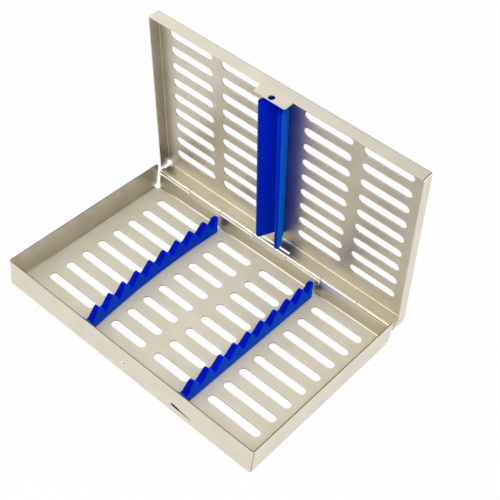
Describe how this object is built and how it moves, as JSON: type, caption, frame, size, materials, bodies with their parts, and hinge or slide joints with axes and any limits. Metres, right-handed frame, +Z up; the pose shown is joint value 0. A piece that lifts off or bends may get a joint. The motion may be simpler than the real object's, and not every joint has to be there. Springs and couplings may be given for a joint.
{
  "type": "dental instrument cassette",
  "caption": "Open dental instrument cassette: slotted steel tray with silicone combs and a hinged slotted lid with a silicone hold-down strip.",
  "frame": {"origin": "middle of the tray's underside, on the face that it rests on", "axes": "+X along the hinge, +Y from the latch side to the hinge side, +Z up"},
  "size_m": [0.202, 0.1464, 0.149],
  "materials": {
    "stainless_sheet": "satin stainless steel sheet, warm grey",
    "stainless_wire": "drawn stainless steel wire",
    "blue_silicone": "moulded silicone rubber, deep royal blue, soft sheen"
  },
  "bodies": {
    "tray": {"tray_pan": "stainless_sheet", "hinge_pin": "stainless_wire", "comb_left": "blue_silicone", "comb_right": "blue_silicone"},
    "lid": {"lid_pan": "stainless_sheet", "lid_strip": "blue_silicone"}
  },
  "joints": [
    {"name": "lid_hinge", "type": "hinge", "parent": "tray", "child": "lid", "pos_m": [0, 0.0693, 0.012], "axis": [-1, 0, 0], "range_deg": [-81.5, 98.5]}
  ]
}
